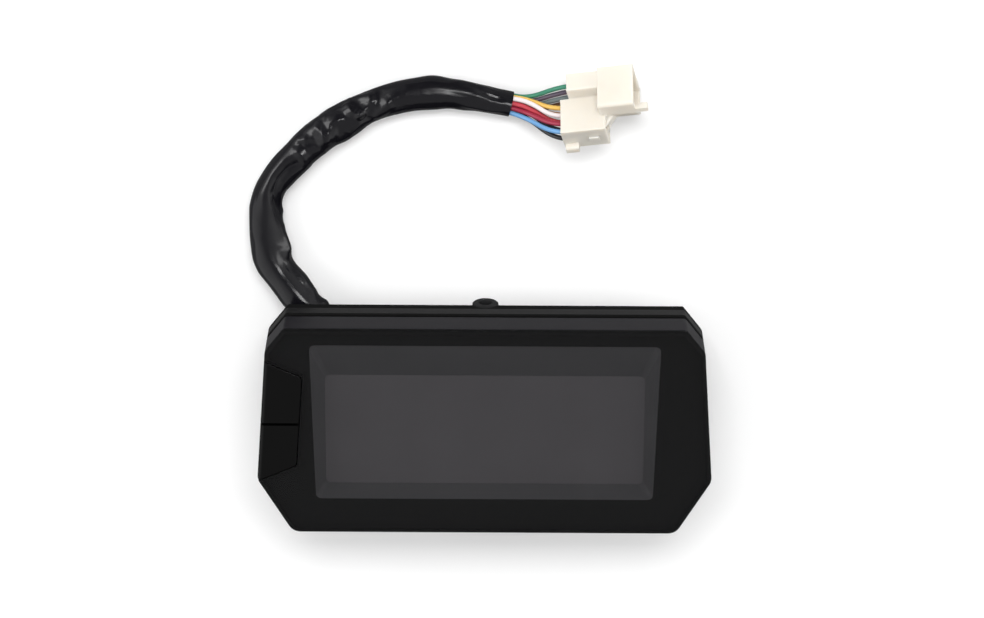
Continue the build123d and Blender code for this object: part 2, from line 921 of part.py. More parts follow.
def make_harness_sleeve():
    start = exit_point - exit_normal * (tub_wall + sleeve_tail)
    points = [tuple(start), tuple(exit_point + exit_normal * exit_run)] + sleeve_points
    return make_tube(points, sleeve_diameter, "harness_sleeve")


# ---- connector, in its own frame: x the way it mates, y across, z up from its base ----
def edge_drop(overhang, radius):
    """How far below the blocks' own corner line a rounded edge reaches once the housing is rolled over."""
    roll = math.radians(connector_roll)
    return (overhang - radius) * (math.sin(roll) + math.cos(roll)) + radius


def connector_frame():
    """The housing lies on one long edge: the wire end's corner and the hood's corner both touch down."""
    block_drop = edge_drop(0.0, block_edge_radius)
    hood_drop = edge_drop(hood_overhang, hood_edge_radius)
    pitch = math.atan2(hood_drop - block_drop, housing_length - hood_length)
    lift = block_drop * math.cos(pitch) + rest_clearance
    place = Pos(*connector_place, lift)
    return place * Rot(0, 0, connector_yaw) * Rot(0, -math.degrees(pitch), 0) * Rot(-connector_roll, 0, 0)


high_cavities = [(-high_block_width / 2, high_cavity_start + high_cavity_pitch * i) for i in range(4)]
low_cavities = [
    (-high_block_width - low_cavity_start - low_cavity_pitch * i, z)
    for z in low_cavity_rows
    for i in range(4)
]
wire_pitch = wire_diameter + bundle_gap
bundle_places = [((row - 1) * wire_pitch, (col - 1.5) * wire_pitch) for col in range(4) for row in range(3)]


def cavity_front(cavity):
    return block_setback if cavity in high_cavities else 0.0


def rod(y, z, radius, x0, x1):
    plane = Plane(origin=(x0, y, z), x_dir=(0, 1, 0), z_dir=(1, 0, 0))
    return extrude(plane * Circle(radius), x1 - x0)


def hood_section(wall=0.0):
    """The hood's outline seen from its mouth, drawn in by a wall: one lower corner is cut off as a key."""
    low = hood_overhang - hood_width
    top = hood_height - hood_overhang
    outline = [
        (low, top),
        (hood_overhang, top),
        (hood_overhang, -hood_overhang),
        (low + hood_key_run, -hood_overhang),
        (low, top - hood_near_height),
    ]
    radii = [max(hood_edge_radius - wall, 0.3)] * 5
    return Plane.YZ * rounded(shifted(outline, wall), radii)


def make_connector_housing():
    low = -high_block_width - low_block_width
    step = -high_block_width
    low_section = [(low, 0), (low, low_block_height), (step, low_block_height), (step, 0)]
    step_section = low_section[:3] + [(step, high_block_height), (0, high_block_height), (0, 0)]
    body = extrude(Plane.YZ * rounded(low_section, [block_edge_radius] * 4), block_setback + 1)
    body += Pos(block_setback, 0, 0) * extrude(
        Plane.YZ * rounded(step_section, [block_edge_radius] * 6), block_length - block_setback
    )
    hood_start = housing_length - hood_length
    body += Pos(hood_start, 0, 0) * extrude(hood_section(), hood_length)
    body += block(foot_start, foot_start + foot_length, low - foot_reach, low + 0.5, 0.0, foot_height)
    hood_low = hood_overhang - hood_width
    tab_z = hood_height - hood_overhang - hood_near_height
    body += block(housing_length - 4, housing_length + tab_reach, hood_low, hood_low + tab_width,
                  tab_z + 0.4, tab_z + 0.4 + tab_width)
    body += make_flank(low, hood_low)
    body -= Pos(block_length, 0, 0) * extrude(hood_section(housing_wall), hood_length)
    reach = wire_diameter / 2 + cavity_clearance
    for y, z in high_cavities + low_cavities:
        front = cavity_front((y, z))
        body -= block(front - 1, block_length + 1, y - reach, y + reach, z - reach, z + reach)
    slot_half = lock_thickness / 2 + 0.1
    body -= block(lock_start - slip, lock_start + lock_length + slip, low - 0.1, low + lock_depth + 0.1,
                  lock_height - slot_half, lock_height + slot_half)
    return connector_frame() * body


def make_flank(block_low, hood_low):
    """A web that braces the hood's key side against the end of the wider block."""
    start = block_length - 0.5
    inner = hood_low + 2 * housing_wall
    corners = [(start, block_low + 1.0), (start, inner), (block_length + flank_reach, inner)]
    profile = make_face(Polyline(*corners, close=True).edges())
    return prism(profile, flank_height, flank_height + flank_thickness)


def make_connector_terminals():
    """Each terminal is a crimp on its wire's end and a box-shaped socket behind the mating face."""
    terminals = []
    for y, z in high_cavities + low_cavities:
        front = cavity_front((y, z))
        terminal = rod(y, z, wire_diameter / 2, front + crimp_depth, front + barrel_start + 0.5)
        length = block_length - 1.0 - front - barrel_start
        socket = Box(length, socket_width, socket_height)
        terminal += Pos(front + barrel_start + length / 2, y, z) * socket
        terminals.append(connector_frame() * terminal)
    return terminals


def make_connector_lock():
    low = -high_block_width - low_block_width
    clip = Box(lock_length, lock_reach + lock_depth, lock_thickness)
    clip = Pos(0, (lock_depth - lock_reach) / 2, 0) * clip + Pos(0, -lock_reach / 2, 0) * Box(
        lock_length, lock_reach, lock_head_height
    )
    return connector_frame() * Pos(lock_start + lock_length / 2, low, lock_height) * clip


def make_harness_wires():
    """Each wire leaves the sleeve's end in its own place and curves into its cavity."""
    end = Vector(*sleeve_points[-1])
    heading = (end - Vector(*sleeve_points[-2])).normalized()
    start_plane = Plane(origin=end, x_dir=(0, 0, 1), z_dir=heading)
    frame = connector_frame()
    wires = []
    for (up, across), cavity in zip(bundle_places, spread_cavities(frame)):
        start = start_plane.from_local_coords((up, across, 0))
        front = cavity_front(cavity)
        goal = (frame * Pos(front + crimp_depth, cavity[0], cavity[1])).position
        mouth = (frame * Pos(front - wire_run + crimp_depth, cavity[0], cavity[1])).position
        leave = start + heading * wire_run
        points = [tuple(start), tuple(leave), tuple(mouth), tuple(goal)]
        wires.append(make_tube(points, wire_diameter, "wire"))
    return wires


def spread_cavities(frame):
    """The cavities in the order of the bundle's columns, so that no two wires cross."""
    cavities = high_cavities + low_cavities
    place = {cavity: (frame * Pos(0, cavity[0], cavity[1])).position for cavity in cavities}
    ordered = sorted(place, key=lambda cavity: -place[cavity].Y)
    columns = [ordered[i:i + 3] for i in range(0, len(ordered), 3)]
    return [cavity for column in columns for cavity in sorted(column, key=lambda c: place[c].Z)]


def write(name, shape):
    solids = shape if isinstance(shape, list) else [shape]
    found = [solid for item in solids for solid in item.solids()]
    export_step(found[0] if len(found) == 1 else Compound(children=found), f"parts/{name}.step")


os.makedirs("parts", exist_ok=True)
(upper_x, upper_y), (lower_x, lower_y) = stems_at
nodes = {
    "lens": make_lens(),
    "lens_mask": make_lens_mask(),
    "front_cover": make_front_cover(),
    "display_bezel": make_display_bezel(),
    "lcd_panel": make_lcd_panel(),
    "polarizers": make_polarizers(),
    "diffuser": make_diffuser(),
    "backlight_box": make_backlight_box(),
    "backlight_leds": make_backlight_leds(),
    "contact_strips": make_contact_strips(),
    "button_upper": make_key(upper_x, upper_y, key_split_y + key_split_gap / 2, half_height),
    "button_lower": make_key(lower_x, lower_y, -half_height, key_split_y - key_split_gap / 2),
    "plunger_upper": make_plunger(upper_x, upper_y),
    "plunger_lower": make_plunger(lower_x, lower_y),
    "switch_bodies": make_switch_bodies(),
    "key_seals": make_key_seals(),
    "circuit_board": make_circuit_board(),
    "microcontroller": make_microcontroller(),
    "voltage_regulator": make_voltage_regulator(),
    "capacitors": make_capacitors(),
    "board_header": make_board_header(),
    "board_plug": make_board_plug(),
    "inner_loom": make_inner_loom(),
    "board_screws": make_board_screws(),
    "rear_case": make_rear_case(),
    "case_seal": make_case_seal(),
    "case_screws": make_case_screws(),
    "locating_grommet": make_locating_grommet(),
    "mount_inserts": make_mount_inserts(),
    "breather_cap": make_breather_cap(),
    "harness_grommet": make_harness_grommet(),
    "harness_sleeve": make_harness_sleeve(),
    "harness_wires": make_harness_wires(),
    "connector_housing": make_connector_housing(),
    "connector_lock": make_connector_lock(),
    "connector_terminals": make_connector_terminals(),
}
for name, shape in nodes.items():
    write(name, shape)
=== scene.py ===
# %% [markdown]
# # A motorcycle instrument cluster and its harness
# The construction is already made: every shell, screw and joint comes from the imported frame. This lesson
# gives those pieces their looks, and builds what a solid model leaves plain: the thin, creased sleeve on the
# harness, its single wires, and the small roundings that catch the light.

# %% Load the frame
import bpy
import bmesh
import json
import math
import random
from mathutils import Matrix, Vector
from mathutils.geometry import convex_hull_2d, intersect_point_line


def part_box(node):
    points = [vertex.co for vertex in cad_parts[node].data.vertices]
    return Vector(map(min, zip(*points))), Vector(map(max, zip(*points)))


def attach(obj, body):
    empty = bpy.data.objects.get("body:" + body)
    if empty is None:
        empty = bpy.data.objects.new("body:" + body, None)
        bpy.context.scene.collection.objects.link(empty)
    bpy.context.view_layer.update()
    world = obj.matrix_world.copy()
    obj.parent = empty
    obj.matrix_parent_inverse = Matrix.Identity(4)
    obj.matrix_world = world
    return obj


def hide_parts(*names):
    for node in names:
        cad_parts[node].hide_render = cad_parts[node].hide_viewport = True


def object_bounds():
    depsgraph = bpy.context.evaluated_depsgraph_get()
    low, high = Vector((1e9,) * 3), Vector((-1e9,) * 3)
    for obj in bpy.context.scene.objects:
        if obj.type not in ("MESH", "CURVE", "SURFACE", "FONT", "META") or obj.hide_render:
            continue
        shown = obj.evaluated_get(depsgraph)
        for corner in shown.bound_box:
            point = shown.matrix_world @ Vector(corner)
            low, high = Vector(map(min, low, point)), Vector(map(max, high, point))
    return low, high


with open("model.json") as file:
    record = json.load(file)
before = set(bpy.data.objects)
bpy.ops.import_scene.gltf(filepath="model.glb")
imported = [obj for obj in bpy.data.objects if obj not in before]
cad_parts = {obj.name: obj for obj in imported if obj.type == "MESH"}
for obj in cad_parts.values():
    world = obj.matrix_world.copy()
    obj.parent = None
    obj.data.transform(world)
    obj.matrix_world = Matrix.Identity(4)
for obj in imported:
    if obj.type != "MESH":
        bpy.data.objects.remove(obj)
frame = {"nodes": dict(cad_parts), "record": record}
cad_low, cad_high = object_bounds()
mm = 0.001
print("frame loaded:", len(frame["nodes"]), "nodes, box", [round(v / mm) for v in cad_high - cad_low], "mm")

# %% [markdown]
# ## Camera
# A product picture of a flat thing is taken with a long lens, so that its sides stay parallel. The camera
# looks at the face from the side of the cluster's top edge, and leans a little way over. Its three axes are
# worked out from that lean and put into one matrix, which leaves no doubt about which way is up.

# %% Camera
view_lean = math.radians(21.5)
camera_distance = 1.2
camera_roll = math.radians(0.316)
looked_at = Vector((0.0024, 0.0488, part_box("lens")[1].z))
lens_length = 122.8
sensor_width = 36.0
far_clip = 10.0

back = Vector((0, math.sin(view_lean), math.cos(view_lean)))
level_up = Vector((0, math.cos(view_lean), -math.sin(view_lean)))
level_right = Vector((1, 0, 0))
right = level_right * math.cos(camera_roll) + level_up * math.sin(camera_roll)
up = level_up * math.cos(camera_roll) - level_right * math.sin(camera_roll)

camera_data = bpy.data.cameras.new("camera")
camera_data.sensor_width = sensor_width
camera_data.lens = lens_length
camera_data.clip_end = far_clip
camera = bpy.data.objects.new("camera", camera_data)
bpy.context.scene.collection.objects.link(camera)
turn = Matrix((right, up, back)).transposed().to_4x4()
camera.matrix_world = Matrix.Translation(looked_at + back * camera_distance) @ turn
bpy.context.scene.camera = camera
bpy.context.scene.view_settings.view_transform = "Standard"
print("camera at", [round(v, 3) for v in camera.location])

# %% [markdown]
# ## Small helpers
# An operator acts on everything that is selected, so each step starts with nothing selected and one active
# object.

# %% Selecting
def select_only(piece):
    """Leave edit mode, select this piece alone and make it the active one."""
    if bpy.context.object and bpy.context.object.mode != "OBJECT":
        bpy.ops.object.mode_set(mode="OBJECT")
    bpy.ops.object.select_all(action="DESELECT")
    piece.select_set(True)
    bpy.context.view_layer.objects.active = piece


def link(piece):
    """Put a new object into the scene."""
    bpy.context.scene.collection.objects.link(piece)
    return piece


select_only(frame["nodes"]["lens"])
bpy.ops.object.select_all(action="DESELECT")
print("nothing is selected now")

# %% [markdown]
# ## The sleeve's route
# The harness is twelve wires in a thin PVC sleeve, about 11 mm across. It leaves the case through a rubber
# boot on the slanted corner wall, drops to the surface that the cluster lies on, and swings round in one
# wide bend. A NURBS spline with these control points gives the smooth line that a springy bundle takes.

# %% Sleeve route
exit_normal = Vector((-0.6, 0.8, 0))
exit_point = Vector((-59.2, 25.6, 9.6)) * mm
inside_boot = 4.2 * mm
straight_out = 13.4 * mm
lying_height = 5.55
bend = [
    (-77.8, 51.5), (-82.0, 67.5), (-78.6, 82.4), (-67.0, 94.8), (-53.0, 106.0),
    (-36.0, 114.7), (-18.5, 117.6), (-3.8, 115.6), (8.9, 112.6),
]
sleeve_points = [exit_point - exit_normal * inside_boot, exit_point + exit_normal * straight_out]
sleeve_points += [Vector((x, y, lying_height)) * mm for x, y in bend]
print(len(sleeve_points), "control points for the sleeve")

# %% [markdown]
# The same three helpers serve the sleeve and the wires: one draws a spline, one reads the smooth line back
# from it, and one measures it.

# %% Splines
def spline_curve(name, points, resolution):
    """A curve of one open NURBS spline with these control points and no thickness."""
    data = bpy.data.curves.new(name, "CURVE")
    data.dimensions = "3D"
    data.resolution_u = resolution
    spline = data.splines.new("NURBS")
    spline.points.add(len(points) - 1)
    for control, place in zip(spline.points, points):
        control.co = (*place, 1.0)
    spline.order_u = 3
    spline.use_endpoint_u = True
    return link(bpy.data.objects.new(name, data))


def line_of(curve):
    """The points along a curve that has no thickness yet."""
    bpy.context.view_layer.update()
    smooth_curve = curve.evaluated_get(bpy.context.evaluated_depsgraph_get())
    mesh = bpy.data.meshes.new_from_object(smooth_curve)
    points = [vertex.co.copy() for vertex in mesh.vertices]
    bpy.data.meshes.remove(mesh)
    return points


def line_length(points):
    """The length of a line of points."""
    return sum((b - a).length for a, b in zip(points, points[1:]))


sleeve_resolution = 24
route = spline_curve("sleeve_route", sleeve_points, sleeve_resolution)
sleeve_line = line_of(route)
bpy.data.objects.remove(route)
print("sleeve route", round(line_length(sleeve_line) / mm, 1), "mm")

# %% [markdown]
# ## The sleeve as a mesh
# A thin sleeve isn't a perfect tube. It is wide where it is empty, narrow where it is pulled over the bundle,
# and it buckles into sharp creases where the harness is bent. So it is built as rings of points round the
# route: each ring has its own width and height, and a few dozen creases push the surface in and out. At its
# end the wall turns in, so that the wires really come out of an open mouth.

# %% Rings along the route
rings_per_mm = 2.2
ring_points = 112
mouth_depth = 11.0 * mm
mouth_wall = 0.3 * mm


def resampled(points, count):
    """The same line with evenly spaced points."""
    lengths = [0.0]
    for a, b in zip(points, points[1:]):
        lengths.append(lengths[-1] + (b - a).length)
    made, segment = [], 0
    for i in range(count):
        wanted = lengths[-1] * i / (count - 1)
        while segment < len(points) - 2 and lengths[segment + 1] < wanted:
            segment += 1
        share = (wanted - lengths[segment]) / (lengths[segment + 1] - lengths[segment])
        made.append(points[segment].lerp(points[segment + 1], share))
    return made


def ring_frames(points):
    """At each point: the place, the direction to the side and the direction up, across the line."""
    frames = []
    for i, place in enumerate(points):
        along = (points[min(i + 1, len(points) - 1)] - points[max(i - 1, 0)]).normalized()
        side = along.cross(Vector((0, 0, 1))).normalized()
        frames.append((place, side, side.cross(along)))
    return frames


sleeve_length = line_length(sleeve_line)
ring_count = round(sleeve_length / mm * rings_per_mm)
sleeve_rings = ring_frames(resampled(sleeve_line, ring_count))
print("sleeve has", ring_count, "rings over", round(sleeve_length / mm, 1), "mm")

# %% [markdown]
# The half width and half height are given at a few distances along the sleeve and blended smoothly between
# them, in millimetres. The first lies inside the boot, where the sleeve is round.

# %% Width
sleeve_sizes = [
    (0, 5.4, 5.4),
    (9, 5.45, 5.4),
    (15, 6.2, 5.4),
    (25, 6.4, 5.2),
    (36, 6.5, 5.1),
    (47, 6.3, 5.1),
    (56, 5.9, 5.1),
    (65, 5.5, 5.1),
    (78, 6.0, 5.1),
    (90, 6.3, 5.1),
    (101, 6.4, 5.1),
    (110, 5.9, 5.1),
    (128, 5.8, 5.0),
    (137, 6.1, 5.0),
    (146, 5.4, 4.9),
    (156, 5.1, 4.7),
    (168, 4.65, 4.5),
]


def between(stations, distance):
    """The values at that distance, blended smoothly between the stations on either side."""
    for before, after in zip(stations, stations[1:]):
        if distance <= after[0]:
            share = (distance - before[0]) / (after[0] - before[0])
            share = share * share * (3 - 2 * share)
            return [a + (b - a) * share for a, b in zip(before[1:], after[1:])]
    return list(stations[-1][1:])


print("half width and half height in the middle of the sleeve:", between(sleeve_sizes, 83))

# %% [markdown]
# Soft film that is crumpled breaks into flat facets with sharp crests between them. The same happens between
# cells that grow from scattered points: each cell is one facet with its own tilt, and a crest stands where two
# cells meet. One net of cells is nearly as wide as it is long, for the crumpled bend. The other is stretched
# along the sleeve, for long pleats. Both are kept faint, and only break up the surface between the folds that
# are listed one by one in the next step.

# %% Crumples
mean_radius = 5.6
around_length = 2 * math.pi * mean_radius
sleeve_folds = [
    (0, 0.0, 0.0),
    (12, 0.0, 0.0),
    (20, 0.05, 0.1),
    (50, 0.0, 0.05),
    (76, 0.0, 0.05),
    (88, 0.2, 0.1),
    (108, 0.25, 0.1),
    (120, 0.05, 0.1),
    (168, 0.0, 0.1),
]
net_length = 170
scatter = 0.42
lowest_facet, highest_facet = -0.45, 0.3
steepest_along, steepest_round = 0.14, 0.12
facet_blend = 0.22
crest_height, crest_sharpness = 0.5, 1.5
far_away = 1e9


def scattered_cells(seed, along_pitch, rows_around):
    """Points scattered over the unrolled sleeve, each with the height and the two slopes of its facet."""
    draw = random.Random(seed)
    cells = []
    for i in range(round(net_length / along_pitch) + 1):
        for k in range(rows_around):
            place = (i + draw.uniform(-scatter, scatter)) * along_pitch
            around = (k + draw.uniform(-scatter, scatter) + 0.5 * (i % 2)) * around_length / rows_around
            level = draw.uniform(lowest_facet, highest_facet)
            slope = draw.uniform(-steepest_along, steepest_along)
            slant = draw.uniform(-steepest_round, steepest_round)
            cells.append((place, around, level, slope, slant))
    return cells


def wrapped(around):
    """The shorter way round the sleeve, with its sign."""
    return (around + around_length / 2) % around_length - around_length / 2


def facets(cells, distance, around, stretch):
    """The height of the net there: the blended facets, and a crest along the line between the two nearest."""
    near = next_near = far_away
    total = height = 0.0
    for place, cell_around, level, slope, slant in cells:
        forward = (distance - place) / stretch
        sideways = wrapped(around - cell_around)
        apart = math.sqrt(forward * forward + sideways * sideways)
        if apart < near:
            near, next_near = apart, near
        elif apart < next_near:
            next_near = apart
        weight = math.exp(-apart * apart * facet_blend)
        total += weight
        height += weight * (level + slope * forward + slant * sideways)
    crest = math.exp(-(next_near - near) * crest_sharpness)
    return height / max(total, 1e-9) + crest_height * crest


crumple_cells = scattered_cells(seed=11, along_pitch=6.6, rows_around=5)
pleat_cells = scattered_cells(seed=5, along_pitch=24.0, rows_around=6)
print(len(crumple_cells), "crumple cells and", len(pleat_cells), "pleat cells")

# %% [markdown]
# The folds that show are placed one by one, as lines on the unrolled sleeve. A point of a line is the distance
# along the sleeve in millimetres and the angle round it in degrees: 0 is the inner side of the bend, 90 the top
# and 180 the outer side. Before the points stand the height and the width, in millimetres. A crease has flat
# flanks and a tight crest, or a tight valley where its height is below zero. A swell is a broad, smooth rise or
# hollow.

# %% Creases and swells
creases = [
    (-0.5, 2.4, [(40, 60), (32, 54), (24, 44), (18, 36)]),
    (0.3, 1.5, [(33, 30), (28, 24), (22, 30)]),
    (0.4, 1.6, [(46, 10), (41, 14), (37, 24)]),
    (-1.0, 2.4, [(52, 0), (60, 40), (66, 74), (71, 88), (76, 87), (80, 78), (83, 60)]),
    (0.5, 2.6, [(57, 90), (64, 112), (74, 118), (82, 128)]),
    (0.5, 2.2, [(84, 124), (84, 80), (82, 30)]),
    (-0.5, 1.3, [(85, 130), (89.5, 100), (92, 78)]),
    (0.5, 2.0, [(86, 165), (87, 132), (89.5, 112)]),
    (0.9, 2.6, [(93, 150), (95, 124), (95, 100), (94, 84), (93, 56)]),
    (0.5, 2.2, [(93, 160), (97, 152), (99, 150), (102, 124)]),
    (0.9, 2.8, [(105, 104), (101.5, 116), (99.5, 112), (97, 84), (94, 62)]),
    (0.9, 2.4, [(107.7, 158), (107.7, 144), (108.6, 116), (110.5, 96), (112.3, 100)]),
    (0.8, 1.6, [(112.3, 100), (109.5, 82)]),
    (0.7, 2.2, [(109, 168), (111.4, 160), (114, 148), (116, 144), (117, 104)]),
    (0.7, 3.0, [(113, 46), (118.7, 76), (123, 100)]),
    (0.9, 6.5, [(121, 132), (127, 136), (133, 128), (142, 124), (147, 128), (151.5, 120), (155, 108), (158.5, 98)]),
    (-0.25, 2.4, [(128, 116), (135, 108), (143, 108), (150, 102), (157, 84)]),
    (-0.5, 1.2, [(153, 130), (158, 119), (163, 114)]),
    (0.4, 1.6, [(143, 150), (150, 158), (160, 150)]),
    (0.3, 1.6, [(148, 60), (158, 52), (165, 66)]),
    (0.4, 2.2, [(46, 196), (56, 214), (70, 206)]),
    (0.5, 2.0, [(20, 320), (30, 300), (40, 312)]),
]
swells = [
    (0.5, 2.8, [(46, 112), (33, 98), (26, 89), (14, 72)]),
    (1.6, 2.4, [(10, -14), (12.5, -8)]),
    (1.1, 5.0, [(38, 168), (36, 172)]),
    (0.4, 4.0, [(42, 176), (22, 160)]),
    (0.9, 3.0, [(40, 4), (56, -4)]),
    (-1.3, 3.0, [(33.5, 4), (33, 20)]),
    (0.6, 3.0, [(25, -4), (20, 0)]),
    (-0.4, 4.0, [(70, 178), (80, 184)]),
    (0.5, 4.0, [(72, 10), (79, 10)]),
    (0.7, 3.5, [(100, 6), (106, 14)]),
    (-0.6, 2.4, [(112, 128), (112, 116)]),
    (-0.8, 2.4, [(120, 136), (118, 96), (113, 62)]),
    (-0.35, 5.0, [(118, 186), (131, 186)]),
    (-0.4, 4.0, [(145, 186), (160, 188)]),
    (0.4, 4.0, [(124, 16), (150, 18)]),
]
print(len(creases), "creases and", len(swells), "swells")

# %% [markdown]
# For any place on the unrolled sleeve, the distance to each fold's line says how far that fold lifts the
# surface. A crease is a quarter as high at its two ends, and reaches its full height a fifth of the way in.

# %% Height of the folds
end_share, fade_rate = 0.25, 4
flank, crest_roundness = 1.1, 0.01


def unrolled(folds):
    """The same folds with their angles turned into millimetres round the sleeve."""
    return [(height, width, [(place, turn / 360 * around_length) for place, turn in line])
            for height, width, line in folds]


def off_line(distance, around, line):
    """How far a place on the unrolled sleeve is from a line on it, and the share of the line gone by then."""
    nearest, gone = far_away, 0.0
    for i, ((start, start_round), (end, end_round)) in enumerate(zip(line, line[1:])):
        along_step, round_step = end - start, end_round - start_round
        ahead, aside = distance - start, wrapped(around - start_round)
        share = (ahead * along_step + aside * round_step) / (along_step ** 2 + round_step ** 2)
        share = max(0.0, min(1.0, share))
        off = math.hypot(ahead - share * along_step, aside - share * round_step)
        if off < nearest:
            nearest, gone = off, (i + share) / (len(line) - 1)
    return nearest, gone


def fold_height(distance, around, near_creases, near_swells):
    """How far the folds lift the surface there, in millimetres."""
    lift = 0.0
    for height, width, line in near_creases:
        off, gone = off_line(distance, around, line)
        fade = min(1.0, end_share + fade_rate * gone, end_share + fade_rate * (1 - gone))
        lift += height * fade * max(0.0, flank - math.sqrt((off / width) ** 2 + crest_roundness))
    for height, width, line in near_swells:
        lift += height * math.exp(-((off_line(distance, around, line)[0] / width) ** 2))
    return lift


def near_folds(folds, distance):
    """The folds that reach this distance along the sleeve."""
    kept = []
    for height, width, line in folds:
        places = [place for place, _ in line]
        if min(places) - 2 * width < distance < max(places) + 2 * width:
            kept.append((height, width, line))
    return kept


creases, swells = unrolled(creases), unrolled(swells)
print("the widest fold reaches", 2 * max(width for _, width, _ in creases + swells), "mm to each side")

# %% [markdown]
# Each ring takes its width and height from the table, its facets from the two nets and its folds from the two
# lists. The underside may reach down only so far, so that the sleeve lies on the surface and doesn't sink in.

# %% One ring
crumple_reach, pleat_reach = 16, 55
pleat_stretch = 3.4
deepest = -1.4
underside = 5.5


def outer_ring(i):
    """The points of one ring on the outside of the sleeve."""
    place, side, up_way = sleeve_rings[i]
    distance = sleeve_length / mm * i / (ring_count - 1)
    width, height = between(sleeve_sizes, distance)
    crumple, pleat = between(sleeve_folds, distance)
    crumples = [cell for cell in crumple_cells if abs(cell[0] - distance) < crumple_reach]
    pleats = [cell for cell in pleat_cells if abs(cell[0] - distance) < pleat_reach]
    ring_creases, ring_swells = near_folds(creases, distance), near_folds(swells, distance)
    row = []
    for k in range(ring_points):
        angle = 2 * math.pi * k / ring_points
        around = around_length * k / ring_points
        out = crumple * facets(crumples, distance, around, 1.0)
        out += pleat * facets(pleats, distance, around, pleat_stretch)
        out = max(out + fold_height(distance, around, ring_creases, ring_swells), deepest)
        high = height + out if angle < math.pi else min(height + out, underside)
        point = place + side * math.cos(angle) * (width + out) * mm + up_way * math.sin(angle) * high * mm
        point.x = max(point.x, cad_low.x)
        row.append(point)
    return row


outside_rows = [outer_ring(i) for i in range(ring_count)]
print(len(outside_rows), "rings of", ring_points, "points")

# %% [markdown]
# The rings become one closed skin. At the mouth the wall turns in and goes back a little way, then a face
# closes each end out of sight.

# %% Sleeve mesh
mouth_steps = (0.0, 2.0, 6.0, mouth_depth / mm)
smooth_under = math.radians(60)


def turned_in(lip):
    """Rings inside the mouth, each the last outer ring made smaller by the wall and moved back."""
    centre = sleeve_rings[-1][0]
    rows = []
    for depth in mouth_steps:
        place = sleeve_rings[-1 - round(depth * rings_per_mm)][0]
        rows.append([place + (point - centre) * (1 - mouth_wall / (point - centre).length) for point in lip])
    return rows


def skin(name, rows):
    """A closed mesh through rings of points, smooth except at sharp turns."""
    def corner(row, k):
        return row * ring_points + k % ring_points

    last = len(rows) - 1
    faces = [(corner(i, k), corner(i + 1, k), corner(i + 1, k + 1), corner(i, k + 1))
             for i in range(last) for k in range(ring_points)]
    faces.append(tuple(corner(0, k) for k in range(ring_points)))
    faces.append(tuple(corner(last, k) for k in reversed(range(ring_points))))
    mesh = bpy.data.meshes.new(name)
    mesh.from_pydata([point for row in rows for point in row], [], faces)
    piece = link(bpy.data.objects.new(name, mesh))
    select_only(piece)
    bpy.ops.object.mode_set(mode="EDIT")
    bpy.ops.mesh.select_all(action="SELECT")
    bpy.ops.mesh.normals_make_consistent(inside=False)
    bpy.ops.object.mode_set(mode="OBJECT")
    bpy.ops.object.shade_smooth_by_angle(angle=smooth_under)
    return piece


sleeve = skin("sleeve", outside_rows + turned_in(outside_rows[-1]))
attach(sleeve, "root")
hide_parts("harness_sleeve")
print("sleeve mesh:", len(sleeve.data.polygons), "faces")

# %% [markdown]
# ## Twelve wires
# The wires leave the sleeve's mouth as a small bundle and spread to the cavities in the back of the
# connector. The connector's own position is worked out once, as a matrix, and the cavities are points in it.
# Its upper block holds one row of four, and its lower block two rows of four.

# %% Connector's place
connector_turn = (
    Matrix.Rotation(math.radians(9.0), 4, "Z")
    @ Matrix.Rotation(math.radians(-7.174), 4, "Y")
    @ Matrix.Rotation(math.radians(-51.0), 4, "X")
)
connector_place = Vector((28.5, 113.0, -0.1516)) * mm
connector_frame = Matrix.Translation(connector_place) @ connector_turn
into_block = connector_turn @ Vector((1, 0, 0))
upper_pitch, lower_pitch = 3.6, 3.4
upper_cavities = [(3.2, -3.6, 2.7 + upper_pitch * i) for i in range(4)]
lower_cavities = [(0.0, -9.1 - lower_pitch * i, z) for z in (3.0, 7.6) for i in range(4)]
mouths = [connector_frame @ (Vector(cavity) * mm) for cavity in upper_cavities + lower_cavities]
mouths.sort(key=lambda mouth: -mouth.dot(up))
print("connector lies at", [round(v / mm, 1) for v in connector_frame.translation], "with", len(mouths), "cavities")

# %% [markdown]
# The wires are listed from the back of the block to the front, each with its column and row in the bundle. The
# upper block's four lie under the others, so that none cross. Each wire starts well inside the sleeve, and its
# last control point lies inside the block.

# %% Wire routes
wire_diameter = 1.7 * mm
wire_gap = 0.35 * mm
wire_pitch = wire_diameter + wire_gap
wire_run = 6.0 * mm
lead_in = 3.0 * mm
inside = 9.5 * mm
near_mouth = 0.2
squeeze = 0.84
middle_column, middle_row = 1.5, 1
bundle_places = [(0, 0), (1, 0), (2, 0), (3, 0), (0, 1), (1, 1), (0, 2), (1, 2), (2, 2), (2, 1), (3, 2), (3, 1)]

bundle_end = sleeve_points[-1]
heading = (bundle_end - sleeve_points[-2]).normalized()
across_way = heading.cross(Vector((0, 0, 1)))
routes = []
for (column, row), mouth in zip(bundle_places, mouths):
    offset = across_way * (column - middle_column) * wire_pitch + Vector((0, 0, (row - middle_row) * wire_pitch))
    routes.append([
        bundle_end + offset * squeeze - heading * inside,
        bundle_end + offset * squeeze - heading * inside * near_mouth,
        bundle_end + offset + heading * wire_run,
        mouth - into_block * lead_in,
        mouth + into_block * lead_in,
    ])
print(len(routes), "routes from the bundle to the block")

# %% [markdown]
# Each wire is a NURBS curve with a round section, which needs no mesh of its own and stays smooth at its bends.

